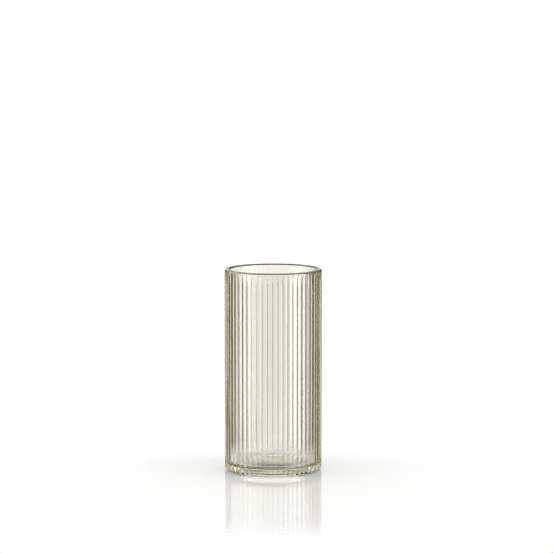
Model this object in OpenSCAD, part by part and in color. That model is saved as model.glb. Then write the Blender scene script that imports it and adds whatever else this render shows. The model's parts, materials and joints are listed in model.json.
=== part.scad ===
// Ribbed glass cylinder vase: one piece of moulded glass, open at the top.
// The origin is the centre of the foot, +Z runs up the axis, and sizes are in millimetres.

/* [Body] */
// Outside diameter over the crests of the ribs
outer_d = 120; // [100:1:150]
// Height from the foot to the top of the lip
height = 250; // [180:1:320]
// Thickness of the wall at the crest of a rib
wall = 6; // [4.5:0.1:8]
// Height of the inside floor above the foot
base_t = 10.5; // [9:0.5:16]
// Radius of the cove where the inside floor meets the wall
cove_r = 4; // [3:0.5:10]

/* [Ribs] */
// How many ribs go round the outside
rib_count = 60; // [54:1:66]
// Radius of the round back of a rib
rib_r = 7.5; // [6:0.25:9]

/* [Foot] */
// Radius that rolls the wall under to the foot
heel_r = 5.5; // [3:0.5:8]
// Width of the ring that the vase stands on, from the heel to the hollow under the base
foot_ring_w = 3.25; // [3:0.25:6]
// Thickness of the glass between the hollow under the base and the inside floor
plate_t = 2.5; // [2:0.25:5]

/* [Lip] */
// Radius of the rounding along both edges of the lip
lip_r = 2; // [1:0.1:2]

/* [Hidden] */
$fn = 96;

outer_r = outer_d / 2;
inner_r = outer_r - wall;
// The backs of the ribs are round about axes on this circle, so their crests reach outer_r.
rib_ring_r = outer_r - rib_r;
// The solid that rounds the heel and the lip stands this far proud of the crests,
// so that it crosses the ribs only where they roll in.
trim_gap = 0.25;
trim_r = outer_r + trim_gap;
foot_r = trim_r - heel_r;
hollow_r = foot_r - foot_ring_w;
hollow_h = base_t - plate_t;
// The hollow's side leans in on its way up, and meets the roof in a round shoulder.
hollow_lean = 0.44 * hollow_h;
lean_angle = atan(hollow_lean / hollow_h);
shoulder_r = 1.5;
foot_edge = 0.8;
// The cavity and the hollow are cut this far past the lip and the foot.
past = 1;

glass_olive = [0.80, 0.79, 0.70, 0.45];

// Cross-section of the outside: a ring of round-backed ribs about a solid middle.
module ribbed_outline() {
    circle(rib_ring_r + rib_r / 2);
    for (i = [0 : rib_count - 1])
        rotate(i * 360 / rib_count)
            translate([rib_ring_r, 0])
                circle(rib_r);
}

// Half profile of the outside, with the round heel and the round outer edge of the lip.
module outside_profile() {
    intersection() {
        union() {
            square([trim_r - heel_r, height]);
            translate([trim_r - heel_r, heel_r]) circle(heel_r);
            translate([0, heel_r]) square([trim_r, height - heel_r - lip_r]);
            translate([trim_r - lip_r, height - lip_r]) circle(lip_r);
            translate([0, height - lip_r]) square([trim_r - lip_r, lip_r]);
        }
        square([trim_r, height]);
    }
}

// Half profile of the inside: flat floor, cove, straight wall and the flare inside the lip.
module cavity_profile() {
    floor_r = inner_r - cove_r;
    wall_foot_z = base_t + cove_r;
    flare_r = inner_r + lip_r;
    translate([0, base_t]) square([floor_r, cove_r]);
    intersection() {
        translate([floor_r, wall_foot_z]) circle(cove_r);
        translate([0, base_t]) square([inner_r, cove_r]);
    }
    translate([0, wall_foot_z]) square([inner_r, height - wall_foot_z + past]);
    difference() {
        translate([0, height - lip_r]) square([flare_r, lip_r + past]);
        translate([flare_r, height - lip_r]) circle(lip_r);
    }
}

module ribbed_body() {
    intersection() {
        linear_extrude(height) ribbed_outline();
        rotate_extrude() outside_profile();
    }
}

module cavity() {
    rotate_extrude() cavity_profile();
}

// Half profile of the hollow under the base: leaning side, round shoulder and flat roof,
// with the foot ring's inner edge taken off at a slope.
module hollow_profile() {
    shoulder_z = hollow_h - shoulder_r;
    shoulder_x = hollow_r - shoulder_z * tan(lean_angle) - shoulder_r / cos(lean_angle);
    polygon([
        [0, -past],
        [hollow_r + foot_edge, -past],
        [hollow_r + foot_edge, 0],
        [hollow_r - foot_edge * tan(lean_angle), foot_edge],
        [shoulder_x + shoulder_r * cos(lean_angle), shoulder_z + shoulder_r * sin(lean_angle)],
        [shoulder_x, shoulder_z],
        [shoulder_x, hollow_h],
        [0, hollow_h],
    ]);
    intersection() {
        translate([shoulder_x, shoulder_z]) circle(shoulder_r);
        polygon([
            [shoulder_x, shoulder_z],
            [shoulder_x + shoulder_r * cos(lean_angle), shoulder_z + shoulder_r * sin(lean_angle)],
            [shoulder_x + shoulder_r, hollow_h],
            [shoulder_x, hollow_h],
        ]);
    }
}

module hollow() {
    rotate_extrude() hollow_profile();
}

module vase() {
    color(glass_olive)
        difference() {
            ribbed_body();
            cavity();
            hollow();
        }
}

vase();
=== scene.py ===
"""Looks of a ribbed glass cylinder vase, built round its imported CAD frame.

The vase is one piece of moulded glass, so its visible mesh is one closed skin. The skin is laid ring by
ring: out across the hollow under the base, over the foot ring, round the heel, up the ribbed wall, over
the lip, down the smooth bore and in across the inside floor. Sizes come from the CAD node and the record.
"""

import json
import math

import bpy
import numpy as np
from mathutils import Matrix, Vector, noise


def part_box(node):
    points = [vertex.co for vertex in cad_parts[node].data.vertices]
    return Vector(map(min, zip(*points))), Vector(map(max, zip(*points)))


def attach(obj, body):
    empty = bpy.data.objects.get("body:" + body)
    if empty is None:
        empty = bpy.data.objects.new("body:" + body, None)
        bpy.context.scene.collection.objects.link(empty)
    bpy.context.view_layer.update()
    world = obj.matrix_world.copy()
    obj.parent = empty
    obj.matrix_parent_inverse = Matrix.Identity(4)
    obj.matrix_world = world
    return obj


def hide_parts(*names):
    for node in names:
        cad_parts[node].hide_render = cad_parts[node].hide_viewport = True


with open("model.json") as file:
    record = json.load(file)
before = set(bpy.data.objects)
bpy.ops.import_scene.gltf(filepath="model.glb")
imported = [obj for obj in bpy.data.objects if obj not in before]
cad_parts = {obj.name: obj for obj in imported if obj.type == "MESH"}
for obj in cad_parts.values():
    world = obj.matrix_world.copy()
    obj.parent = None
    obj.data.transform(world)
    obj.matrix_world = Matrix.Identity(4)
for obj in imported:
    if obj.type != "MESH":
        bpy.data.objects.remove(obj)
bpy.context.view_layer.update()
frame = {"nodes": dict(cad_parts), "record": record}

MM = 0.001
RIB_COUNT = 60
SEAM_RIBS = (7, 37)  # the two halves of the mould part in the valleys after these ribs
LOW_LEVEL = 0.3      # levels at which the hollow's side is read, as shares of its height
MID_LEVEL = 0.6


# ---------------------------------------------------------------- sizes from the CAD model

def probe(start, direction):
    """Where a straight line first meets the CAD solid."""
    hit, place, _, _ = frame["nodes"]["vase"].ray_cast(Vector(start), Vector(direction))
    assert hit, f"nothing of the vase lies on the line from {start}"
    return place


low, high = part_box("vase")
bore = {m["name"]: m for m in frame["record"]["mounts"]}["bore"]
bore_mid = bore["pos_m"][2]
bore_half = bore["dims"]["length_mm"] * MM / 2

height = high.z
outer_r = (high.x - low.x) / 2
inner_r = bore["dims"]["r_mm"] * MM
floor_z = probe((MM, MM, height / 2), (0, 0, -1)).z
roof_z = probe((MM, MM, -MM), (0, 0, 1)).z
# The hollow's side leans in on its way up, so two levels of it give its foot and its top.
low_side = probe((0, 0, roof_z * LOW_LEVEL), (1, 0, 0)).x
mid_side = probe((0, 0, roof_z * MID_LEVEL), (1, 0, 0)).x
hollow_lean = (low_side - mid_side) / (MID_LEVEL - LOW_LEVEL)
hollow_r = low_side + hollow_lean * LOW_LEVEL
hollow_top_r = hollow_r - hollow_lean
cove_r = bore_mid - bore_half - floor_z
valley_angle = math.pi / RIB_COUNT
valley_r = probe((math.cos(valley_angle), math.sin(valley_angle), height / 2),
                 (-math.cos(valley_angle), -math.sin(valley_angle), 0)).xy.length
# The back of a rib is an arc through its crest and the valleys on both sides.
rib_r = ((valley_r**2 + outer_r**2 - 2 * valley_r * outer_r * math.cos(valley_angle))
         / (2 * (outer_r - valley_r * math.cos(valley_angle))))
rib_ring_r = outer_r - rib_r


# ---------------------------------------------------------------- the glass skin

HEEL_R = 5.25 * MM
FOOT_EDGE_R = 1.2 * MM      # rounding along the foot ring's inner edge
SHOULDER_R = 1.5 * MM       # rounding between the hollow's side and its roof
ROOF_DROP = 0.2 * MM        # the hollow's roof is this much lower in its middle than at its side
FLOOR_DROP = 0.5 * MM       # the inside floor is this much lower than the CAD floor along the cove
STIPPLE_COUNT = 240         # fine radial notches that key the foot ring to the table
STIPPLE_DEPTH = 0.12 * MM
VALLEY_FILLET = 0.35 * MM   # half width of the rounding at the bottom of a valley
SEAM_HEIGHT = 0.14 * MM
SEAM_HALF_W = 0.22 * MM
LIP_R = 2.7 * MM
RIB_FADE = 4.5 * MM         # ribs melt into the lip over this length
FLOOR_CROWN = 1.5 * MM      # the inside floor rises this much to its middle
BORE_WAVE = 0.22 * MM       # slow waves that the blow leaves in the bore
WALL_WAVE = 0.035 * MM      # faint chill waves down the outside
WAVE_ACROSS = 30 * MM       # how far the slow waves run round the vase and up it
WAVE_UP = 60 * MM
WAVE_START = 7.3            # the stretch of noise that the waves are taken from
WAVE_LIP_FADE = 20 * MM     # the waves die out over these lengths towards the lip and the foot
WAVE_FOOT_FADE = 12 * MM
RIB_LAST_SLOPE = -0.02      # skin that faces in by more than this has no ribs
RIB_SLOPE_SPAN = 0.20       # and the ribs are whole once it faces out by this much more
PER_RIB = 16                # points across one rib
FULL = RIB_COUNT * PER_RIB
PLAIN_RING = FULL // 2      # points round a smooth ring
# Rings near the axis have fewer points: up to this share of the bore's radius, this many.
NEAR_AXIS = ((0.2, FULL // 16), (0.4, FULL // 8), (0.7, FULL // 4))


def smooth(x):
    """0 below 0, 1 above 1, and an even S between."""
    x = min(max(x, 0.0), 1.0)
    return x * x * (3 - 2 * x)


def half_profile():
    """The skin's outline from the axis under the base, round the outside, to the axis on the floor.

    Each corner is (radius, height, rounding, steps on the straight before it, steps round it), and each
    point comes out as (radius, height, unit vector out of the glass)."""
    corners = [
        (0, roof_z, 0, 0, 0),
        (hollow_top_r, roof_z + ROOF_DROP, SHOULDER_R, 8, 6),
        (hollow_r, 0, FOOT_EDGE_R, 1, 4),
        (outer_r, 0, HEEL_R, 4, 14),
        (outer_r, height, LIP_R, 36, 8),
        (inner_r, height, LIP_R, 1, 8),
        (inner_r, floor_z - FLOOR_DROP, cove_r, 26, 9),
        (0, floor_z - FLOOR_DROP + FLOOR_CROWN, 0, 8, 0),
    ]
    points = []
    here = Vector(corners[0][:2])
    for i in range(1, len(corners)):
        r, z, rounding, straight_steps, round_steps = corners[i]
        corner = Vector((r, z))
        before = (corner - Vector(corners[i - 1][:2])).normalized()
        after = (Vector(corners[i + 1][:2]) - corner).normalized() if rounding else before
        turn = before.angle_signed(after) * -1 if rounding else 0.0
        start = corner - before * rounding * math.tan(abs(turn) / 2)
        out = Vector((before.y, -before.x))
        for k in range(1 if points else 0, straight_steps + 1):
            points.append((here.lerp(start, k / straight_steps), out))
        for k in range(1, round_steps + 1):
            a = turn * k / round_steps
            spun = out.copy()
            spun.rotate(Matrix.Rotation(a, 2))
            points.append((start + (spun - out) * rounding * (1 if turn > 0 else -1), spun))
        here = points[-1][0]
    return points


def rib_share(z, out):
    """How much of the ribs' depth the skin has: all on the wall, none on the foot, the lip and inside."""
    if out.x < RIB_LAST_SLOPE:
        return 0.0
    below_lip = smooth((height - LIP_R - z) / RIB_FADE)
    return smooth((out.x - RIB_LAST_SLOPE) / RIB_SLOPE_SPAN) * below_lip


def ring_count(r, z, out):
    """Points round a ring: the full number where there are ribs, and fewer inside and near the axis.

    Skin that faces out, or down at the foot, is ribbed or stippled. The inside floor only faces up."""
    if r > hollow_r and out.x > -0.5 and not (out.y > 0.5 and z < height / 2):
        return FULL
    for share, count in NEAR_AXIS:
        if r < share * inner_r:
            return count
    return PLAIN_RING


def rib_angles():
    """Angles of a full ring's points, closest together in the valleys."""
    across = np.arange(PER_RIB) * 2 / PER_RIB - 1
    share = np.sin(across * math.pi / 2)
    crests = np.arange(RIB_COUNT) * 2 * math.pi / RIB_COUNT
    return (crests[:, None] + share[None, :] * math.pi / RIB_COUNT).ravel()


FULL_ANGLES = rib_angles()


def rib_depth(angles):
    """How far the ribbed outside lies in from the crests' circle."""
    crest = np.round(angles / (2 * valley_angle)) * 2 * valley_angle
    off = angles - crest
    back = rib_ring_r * np.cos(off) + np.sqrt(rib_r**2 - (rib_ring_r * np.sin(off))**2)
    half_chord = rib_ring_r * math.sin(valley_angle)
    slope = half_chord / math.sqrt(rib_r**2 - half_chord**2)
    from_valley = (valley_angle - np.abs(off)) * valley_r
    rounding = np.clip(VALLEY_FILLET - from_valley, 0, None)**2 * slope / (2 * VALLEY_FILLET)
    seam = np.zeros_like(angles)
    for rib in SEAM_RIBS:
        gap = (angles - (2 * rib + 1) * valley_angle + math.pi) % (2 * math.pi) - math.pi
        seam += SEAM_HEIGHT * np.exp(-(gap * valley_r / SEAM_HALF_W)**2)
    return outer_r - back - rounding - seam


def slow_wave(x, y, z):
    """Smooth noise from -1 to 1 that changes over some 30 mm round the vase and 60 mm along it."""
    return noise.noise(Vector((x / WAVE_ACROSS, y / WAVE_ACROSS, z / WAVE_UP + WAVE_START)))


def wave_size(z, out):
    """How strong the slow waves are: full on the bore and the wall, none at the lip and under the foot."""
    clear_of_lip = smooth((height - LIP_R - z) / WAVE_LIP_FADE)
    clear_of_foot = smooth((z - HEEL_R) / WAVE_FOOT_FADE)
    return (BORE_WAVE * max(-out.x, 0) + WALL_WAVE * max(out.x, 0)) * clear_of_lip * clear_of_foot


def ring_points(r, z, out, count):
    """One ring's points, moved along the outward direction by its ribs, stipple and waves."""
    angles = FULL_ANGLES[::FULL // count]
    move = -rib_depth(angles) * rib_share(z, out)
    if z < 0.05 * MM:
        move += STIPPLE_DEPTH * (-0.5 + 0.5 * np.cos(angles * STIPPLE_COUNT))
    wave = wave_size(z, out)
    if wave > 0:
        move += wave * np.array([slow_wave(r * math.cos(a), r * math.sin(a), z) for a in angles])
    r = r + move * out.x
    z = z + move * out.y
    return np.stack([r * np.cos(angles), r * np.sin(angles), z], 1)


def strip_faces(below, n_below, above, n_above):
    """Faces between two rings. Where one has a half or a quarter of the other's points, they fan out."""
    faces = []
    if n_below == n_above:
        for i in range(n_below):
            j = (i + 1) % n_below
            faces.append((below + i, below + j, above + j, above + i))
        return faces
    few, n_few, many, n_many = below, n_below, above, n_above
    if n_below > n_above:
        few, n_few, many, n_many = above, n_above, below, n_below
    fan = n_many // n_few
    for i in range(n_few):
        j = (i + 1) % n_few
        outer = [many + (fan * i + k) % n_many for k in range(fan + 1)]
        half = fan // 2
        made = [(few + i, outer[k + 1], outer[k]) for k in range(half)]
        made.append((few + i, few + j, outer[half]))
        made += [(few + j, outer[k + 1], outer[k]) for k in range(half, fan)]
        faces += made if few == below else [face[::-1] for face in made]
    return faces


def build_skin():
    """The whole closed skin of the vase as one mesh object."""
    profile = half_profile()
    poles = profile[0], profile[-1]
    rings = [(place.x, place.y, out, ring_count(place.x, place.y, out)) for place, out in profile[1:-1]]
    points = [np.array([[0, 0, poles[0][0].y]])]
    start = 1
    faces = [(0, start + (i + 1) % rings[0][3], start + i) for i in range(rings[0][3])]
    for ring, after in zip(rings, rings[1:] + [None]):
        points.append(ring_points(*ring))
        if after is not None:
            faces += strip_faces(start, ring[3], start + ring[3], after[3])
            start += ring[3]
    last_count = rings[-1][3]
    top = start + last_count
    points.append(np.array([[0, 0, poles[1][0].y]]))
    faces += [(start + i, start + (i + 1) % last_count, top) for i in range(last_count)]
    mesh = bpy.data.meshes.new("glass_skin")
    mesh.from_pydata(np.concatenate(points).tolist(), [], faces)
    mesh.polygons.foreach_set("use_smooth", np.ones(len(mesh.polygons), bool))
    mesh.update()
    skin = bpy.data.objects.new("glass_skin", mesh)
    bpy.context.scene.collection.objects.link(skin)
    return skin


# ---------------------------------------------------------------- materials

class Nodes:
    """Short names for adding and joining the nodes of one tree."""

    def __init__(self, owner):
        owner.use_nodes = True
        self.tree = owner.node_tree
        self.tree.nodes.clear()

    def add(self, kind, inputs=None, **settings):
        node = self.tree.nodes.new(kind)
        for name, value in settings.items():
            setattr(node, name, value)
        for name, value in (inputs or {}).items():
            if isinstance(value, bpy.types.NodeSocket):
                self.tree.links.new(value, node.inputs[name])
            else:
                node.inputs[name].default_value = value
        return node

    def maths(self, operation, *values):
        return self.add("ShaderNodeMath", dict(enumerate(values)), operation=operation).outputs[0]

    def remap(self, value, low_in, high_in, low_out=0.0, high_out=1.0):
        """value from one range to another, with an even S between."""
        inputs = {"Value": value, "From Min": low_in, "From Max": high_in,
                  "To Min": low_out, "To Max": high_out}
        return self.add("ShaderNodeMapRange", inputs, interpolation_type="SMOOTHSTEP").outputs["Result"]


GLASS_IOR = 1.52
GLASS_COLOUR = (0.985, 0.985, 0.965, 1.0)
WORN_TO = 0.9 * MM                   # the foot is scuffed up to here, and most below the next height
WORN_FROM = 0.1 * MM
WEAR_RANGE = (0.10, 0.42)            # roughness of the scuffed foot, least and most
HAZE_MOST = 0.022                    # roughness of the faint film on the rest
TINT_DEPTH = 40.0                   # absorption per metre of a colour that the tint would take out whole
TINT_COLOUR = (0.765, 0.745, 0.605)  # each colour's share that the tint spares, olive in the depth


def glass_material():
    """Clear moulded glass with an olive tint in its depth, chill marks on its skin and a worn foot."""
    material = bpy.data.materials.new("olive_glass")
    n = Nodes(material)
    place = n.add("ShaderNodeTexCoord").outputs["Object"]
    upright = n.add("ShaderNodeSeparateXYZ", {"Vector": place}).outputs["Z"]

    # Chill marks: level ripples, long round the wall and short up it.
    flat = n.add("ShaderNodeMapping", {"Vector": place, "Scale": (18.0, 18.0, 150.0)}).outputs["Vector"]
    ripple = n.add("ShaderNodeTexNoise", {"Vector": flat, "Scale": 1.0, "Detail": 2.0, "Roughness": 0.45})
    chill = n.add("ShaderNodeBump", {"Height": ripple.outputs["Fac"], "Strength": 0.08, "Distance": 0.0006})
    # Orange peel, very faint.
    peel = n.add("ShaderNodeTexNoise", {"Vector": place, "Scale": 260.0, "Detail": 3.0, "Roughness": 0.5})
    skin = n.add("ShaderNodeBump", {"Height": peel.outputs["Fac"], "Strength": 0.02, "Distance": 0.0002,
                                    "Normal": chill.outputs["Normal"]})

    # The foot ring is scuffed by the surfaces that the vase has stood on.
    scuff = n.add("ShaderNodeTexNoise", {"Vector": place, "Scale": 900.0, "Detail": 4.0, "Roughness": 0.6})
    worn = n.remap(upright, WORN_TO, WORN_FROM)
    wear = n.maths("MULTIPLY", worn, n.remap(scuff.outputs["Fac"], 0.35, 0.7, *WEAR_RANGE))
    film = n.add("ShaderNodeTexNoise", {"Vector": place, "Scale": 14.0, "Detail": 3.0, "Roughness": 0.6})
    haze = n.remap(film.outputs["Fac"], 0.4, 0.75, 0.0, HAZE_MOST)
    roughness = n.maths("MAXIMUM", wear, haze)

    shader = n.add("ShaderNodeBsdfPrincipled", {
        "Base Color": GLASS_COLOUR,
        "Transmission Weight": 1.0,
        "IOR": GLASS_IOR,
        "Roughness": roughness,
        "Normal": skin.outputs["Normal"],
    })
    depth = n.add("ShaderNodeVolumeAbsorption", {"Color": (*TINT_COLOUR, 1.0), "Density": TINT_DEPTH})
    n.add("ShaderNodeOutputMaterial", {"Surface": shader.outputs[0], "Volume": depth.outputs[0]})
    return material


FLOOR_MIDDLE = (0.0, -0.12, -0.0001)    # most of the floor lies in front of the vase
FLOOR_SOLID_R = 0.17                    # the floor is whole up to here, and gone at the next radius
FLOOR_CLEAR_R = 0.31
FLOOR_COLOUR = (0.73, 0.73, 0.725, 1.0)
FLOOR_IOR = 1.7                         # a strong polish, for the vase's reflection
FLOOR_SIDES = 96


def floor_material():
    """Pale polished floor that melts into the white surroundings towards its edge."""
    material = bpy.data.materials.new("pale_floor")
    n = Nodes(material)
    place = n.add("ShaderNodeTexCoord").outputs["Object"]
    reach = n.add("ShaderNodeVectorMath", {0: place}, operation="LENGTH").outputs["Value"]
    grain = n.add("ShaderNodeTexNoise", {"Vector": place, "Scale": 40.0, "Detail": 4.0})
    shader = n.add("ShaderNodeBsdfPrincipled", {
        "Base Color": FLOOR_COLOUR,
        "Roughness": n.remap(grain.outputs["Fac"], 0.3, 0.7, 0.05, 0.09),
        "IOR": FLOOR_IOR,
    })
    clear = n.add("ShaderNodeBsdfTransparent")
    gone = n.remap(reach, FLOOR_SOLID_R, FLOOR_CLEAR_R)
    mix = n.add("ShaderNodeMixShader", {0: gone, 1: shader.outputs[0], 2: clear.outputs[0]})
    n.add("ShaderNodeOutputMaterial", {"Surface": mix.outputs[0]})
    return material


# ---------------------------------------------------------------- the studio

def add_floor():
    """A round pale floor, just under the foot."""
    bpy.ops.mesh.primitive_circle_add(vertices=FLOOR_SIDES, radius=FLOOR_CLEAR_R, fill_type="NGON",
                                      location=FLOOR_MIDDLE)
    floor = bpy.context.object
    floor.name = "studio_floor"
    floor.data.materials.append(floor_material())


def side_mask(n, direction, azimuth, half_width, edge):
    """1 within half_width degrees of an azimuth, seen from the vase, and 0 past a soft edge."""
    a = math.radians(azimuth)
    x, y, _ = direction
    along = n.maths("ADD", n.maths("MULTIPLY", x, math.cos(a)), n.maths("MULTIPLY", y, math.sin(a)))
    flat = n.maths("SQRT", n.maths("ADD", n.maths("MULTIPLY", x, x), n.maths("MULTIPLY", y, y)))
    cosine = n.maths("DIVIDE", along, n.maths("MAXIMUM", flat, 0.001))
    return n.remap(cosine, math.cos(math.radians(half_width + edge)), math.cos(math.radians(half_width)))


def height_mask(n, direction, low_deg, high_deg, edge):
    """1 between two elevations, and 0 past soft edges."""
    z = direction[2]
    up = n.remap(z, math.sin(math.radians(low_deg - edge)), math.sin(math.radians(low_deg)))
    down = n.remap(z, math.sin(math.radians(high_deg + edge)), math.sin(math.radians(high_deg)))
    return n.maths("MULTIPLY", up, down)


STUDIO_LEVEL = 1.02
OVERHEAD_LEVEL = 1.55
OVERHEAD_START = 0.45       # sines of the elevations where the overhead light starts and is whole
OVERHEAD_WHOLE = 0.75
DARK_TONE = (0.12, 0.089, 0.029, 1.0)
SIDE_EDGE = 8               # width in degrees of the soft edge at a side
# Heights in the studio: lowest and highest elevation and their soft edge, in degrees.
WHOLE_SIDE = (-60, 22, 12)
LEVEL_BAND = (-14, 5, 3)
BELOW_BAND = (-60, -22, 4)
LAMP_HEIGHT = (-8, 25, 8)
# Dark open sides between the white backdrops: azimuth and half width in degrees, and height.
OPEN_SIDES = (
    (14, 18, WHOLE_SIDE), (45, 3, WHOLE_SIDE), (65, 7, WHOLE_SIDE),
    (118, 8, LEVEL_BAND), (154, 11, LEVEL_BAND),
    (230, 20, WHOLE_SIDE), (268, 30, WHOLE_SIDE),
    (83, 28, BELOW_BAND), (187, 28, BELOW_BAND),
)
# Tall soft lights at the sides: azimuth and half width in degrees, height, and strength.
SIDE_LIGHTS = ((335, 13, LAMP_HEIGHT, 3.0), (195, 7, LAMP_HEIGHT, 3.0))


def studio_world():
    """White all round and above, with dark open sides that show in the glass as brown streaks."""
    world = bpy.data.worlds.new("studio")
    bpy.context.scene.world = world
    n = Nodes(world)
    xyz = n.add("ShaderNodeSeparateXYZ", {"Vector": n.add("ShaderNodeTexCoord").outputs["Generated"]})
    direction = [xyz.outputs[i] for i in range(3)]

    def patch(azimuth, half_width, heights):
        side = side_mask(n, direction, azimuth, half_width, SIDE_EDGE)
        return n.maths("MULTIPLY", side, height_mask(n, direction, *heights))

    dark = 0.0
    for place in OPEN_SIDES:
        dark = n.maths("MAXIMUM", dark, patch(*place))
    # The open sides show in the glass and the floor only, so that the backdrop is white from every side.
    behind = n.add("ShaderNodeLightPath").outputs["Is Camera Ray"]
    dark = n.maths("MULTIPLY", dark, n.maths("SUBTRACT", 1.0, behind))
    white = (STUDIO_LEVEL, STUDIO_LEVEL, STUDIO_LEVEL, 1.0)
    tone = n.add("ShaderNodeMix", {0: dark, 6: white, 7: DARK_TONE}, data_type="RGBA").outputs[2]
    level = n.remap(direction[2], OVERHEAD_START, OVERHEAD_WHOLE, 1.0, OVERHEAD_LEVEL)
    for *place, strength in SIDE_LIGHTS:
        level = n.maths("ADD", level, n.maths("MULTIPLY", patch(*place), strength))
    background = n.add("ShaderNodeBackground", {"Color": tone, "Strength": level})
    n.add("ShaderNodeOutputWorld", {"Surface": background.outputs[0]})


SENSOR = 36.0
CAMERA_DISTANCE = 3.0
FOOT_ELEVATION = math.radians(11.0)     # how far down the camera looks at the foot
RIB_TURN = math.radians(-1.5)           # how far round from a crest the camera stands
FRAME_PER_WIDTH = 5.742                 # frame widths to one vase width
# Where the foot's centre lies from the frame's centre, in frame widths.
FOOT_ACROSS = -0.006
FOOT_BELOW = 0.347


def add_camera():
    """A long lens, looking a little down, with the vase low in a square frame."""
    focal = CAMERA_DISTANCE / (2 * outer_r * FRAME_PER_WIDTH)   # in frame widths
    camera = bpy.data.objects.new("camera", bpy.data.cameras.new("camera"))
    camera.data.sensor_width = SENSOR
    camera.data.lens = focal * SENSOR
    camera.data.clip_start, camera.data.clip_end = 0.1, 100
    pitch = FOOT_ELEVATION - math.atan(FOOT_BELOW / focal)
    yaw = math.atan(FOOT_ACROSS / focal)
    level = CAMERA_DISTANCE * math.cos(FOOT_ELEVATION)
    camera.location = (level * math.sin(RIB_TURN), -level * math.cos(RIB_TURN),
                       CAMERA_DISTANCE * math.sin(FOOT_ELEVATION))
    camera.rotation_euler = (math.pi / 2 - pitch, 0, RIB_TURN + yaw)
    bpy.context.scene.collection.objects.link(camera)
    bpy.context.scene.camera = camera


# ---------------------------------------------------------------- put it together

add_camera()
add_floor()
studio_world()

skin = build_skin()
skin.data.materials.append(glass_material())
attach(skin, "root")
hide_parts("vase")

scene = bpy.context.scene
scene.view_settings.view_transform = "Standard"
scene.cycles.filter_width = 1.1
scene.cycles.denoising_input_passes = "RGB_ALBEDO"
scene.cycles.max_bounces = 32
scene.cycles.transmission_bounces = 32
scene.cycles.glossy_bounces = 16
scene.cycles.transparent_max_bounces = 32
